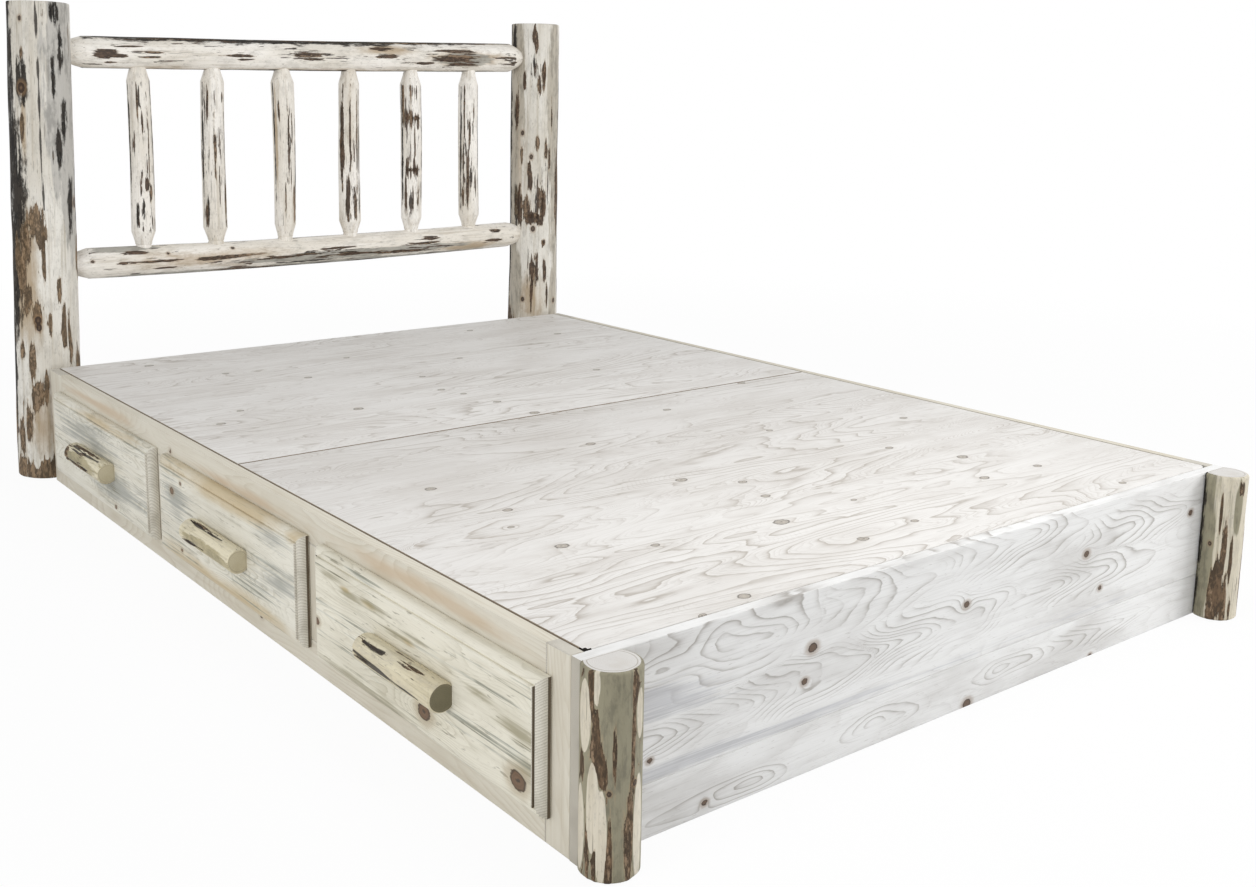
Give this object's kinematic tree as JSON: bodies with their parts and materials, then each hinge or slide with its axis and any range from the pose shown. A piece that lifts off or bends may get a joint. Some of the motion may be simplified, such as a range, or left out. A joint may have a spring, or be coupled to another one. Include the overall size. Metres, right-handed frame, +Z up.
{
  "type": "rustic log bed",
  "caption": "Platform bed with a peeled log headboard, flat deck, half round foot posts and drawers with log pulls along both sides.",
  "frame": {"origin": "on the floor, under the middle of the whole bed's box", "axes": "+X towards the right side as seen from the foot, +Y from the foot towards the headboard, +Z up"},
  "size_m": [1.5117, 2.1724, 1.055],
  "materials": {
    "peeled_log_post": "hand peeled pine log with brown inner bark patches, knots and checks, clear satin finish",
    "peeled_log_rail": "hand peeled thin pine log, pale, with dark bark streaks, clear satin finish",
    "peeled_log_foot": "peeled pine log with long cream, brown and grey green bark stripes, white sawn end",
    "footboard_pine": "knotty pine boards with cathedral grain, pale, clear satin finish",
    "deck_sheet": "sanded softwood sheet, whitish grey with small knots",
    "side_frame_pine": "planed pine board, beige, clear satin finish",
    "drawer_front_pine": "planed knotty pine with moulded edge, cream with grey and yellow stain",
    "pull_log": "peeled branch with tan and olive wood and dark bark streaks",
    "drawer_wood": "plain sanded softwood",
    "carcass_pine": "rough planed softwood",
    "zinc_steel": "zinc plated"
  },
  "bodies": {
    "root": {"centre_spine": "carcass_pine", "cross_dividers": "carcass_pine", "deck_cleats": "carcass_pine", "deck_panel_foot": "deck_sheet", "deck_panel_head": "deck_sheet", "drawer_guides": "carcass_pine", "drawer_runners": "carcass_pine", "foot_post_left": "peeled_log_foot", "foot_post_right": "peeled_log_foot", "foot_post_screws": "zinc_steel", "footboard_lower_board": "footboard_pine", "footboard_upper_board": "footboard_pine", "head_panel": "carcass_pine", "head_post_left": "peeled_log_post", "head_post_right": "peeled_log_post", "head_rail_bottom": "peeled_log_rail", "head_rail_top": "peeled_log_rail", "headboard_bolts": "zinc_steel", "left_side_bottom_rail": "side_frame_pine", "left_side_stiles": "side_frame_pine", "left_side_top_rail": "side_frame_pine", "right_side_bottom_rail": "side_frame_pine", "right_side_stiles": "side_frame_pine", "right_side_top_rail": "side_frame_pine", "spindle_1": "peeled_log_rail", "spindle_2": "peeled_log_rail", "spindle_3": "peeled_log_rail", "spindle_4": "peeled_log_rail", "spindle_5": "peeled_log_rail", "spindle_6": "peeled_log_rail"},
    "left_foot_drawer": {"left_foot_drawer_bottom": "drawer_wood", "left_foot_drawer_box": "drawer_wood", "left_foot_drawer_front": "drawer_front_pine", "left_foot_drawer_pull": "pull_log", "left_foot_drawer_screws": "zinc_steel"},
    "left_middle_drawer": {"left_middle_drawer_bottom": "drawer_wood", "left_middle_drawer_box": "drawer_wood", "left_middle_drawer_front": "drawer_front_pine", "left_middle_drawer_pull": "pull_log", "left_middle_drawer_screws": "zinc_steel"},
    "left_head_drawer": {"left_head_drawer_bottom": "drawer_wood", "left_head_drawer_box": "drawer_wood", "left_head_drawer_front": "drawer_front_pine", "left_head_drawer_pull": "pull_log", "left_head_drawer_screws": "zinc_steel"},
    "right_foot_drawer": {"right_foot_drawer_bottom": "drawer_wood", "right_foot_drawer_box": "drawer_wood", "right_foot_drawer_front": "drawer_front_pine", "right_foot_drawer_pull": "pull_log", "right_foot_drawer_screws": "zinc_steel"},
    "right_middle_drawer": {"right_middle_drawer_bottom": "drawer_wood", "right_middle_drawer_box": "drawer_wood", "right_middle_drawer_front": "drawer_front_pine", "right_middle_drawer_pull": "pull_log", "right_middle_drawer_screws": "zinc_steel"},
    "right_head_drawer": {"right_head_drawer_bottom": "drawer_wood", "right_head_drawer_box": "drawer_wood", "right_head_drawer_front": "drawer_front_pine", "right_head_drawer_pull": "pull_log", "right_head_drawer_screws": "zinc_steel"}
  },
  "joints": [
    {"name": "left_foot_drawer_slide", "type": "slide", "parent": "root", "child": "left_foot_drawer", "axis": [-1, 0, 0], "range_m": [0, 0.42]},
    {"name": "left_middle_drawer_slide", "type": "slide", "parent": "root", "child": "left_middle_drawer", "axis": [-1, 0, 0], "range_m": [0, 0.42]},
    {"name": "left_head_drawer_slide", "type": "slide", "parent": "root", "child": "left_head_drawer", "axis": [-1, 0, 0], "range_m": [0, 0.42]},
    {"name": "right_foot_drawer_slide", "type": "slide", "parent": "root", "child": "right_foot_drawer", "axis": [1, 0, 0], "range_m": [0, 0.42]},
    {"name": "right_middle_drawer_slide", "type": "slide", "parent": "root", "child": "right_middle_drawer", "axis": [1, 0, 0], "range_m": [0, 0.42]},
    {"name": "right_head_drawer_slide", "type": "slide", "parent": "root", "child": "right_head_drawer", "axis": [1, 0, 0], "range_m": [0, 0.42]}
  ]
}
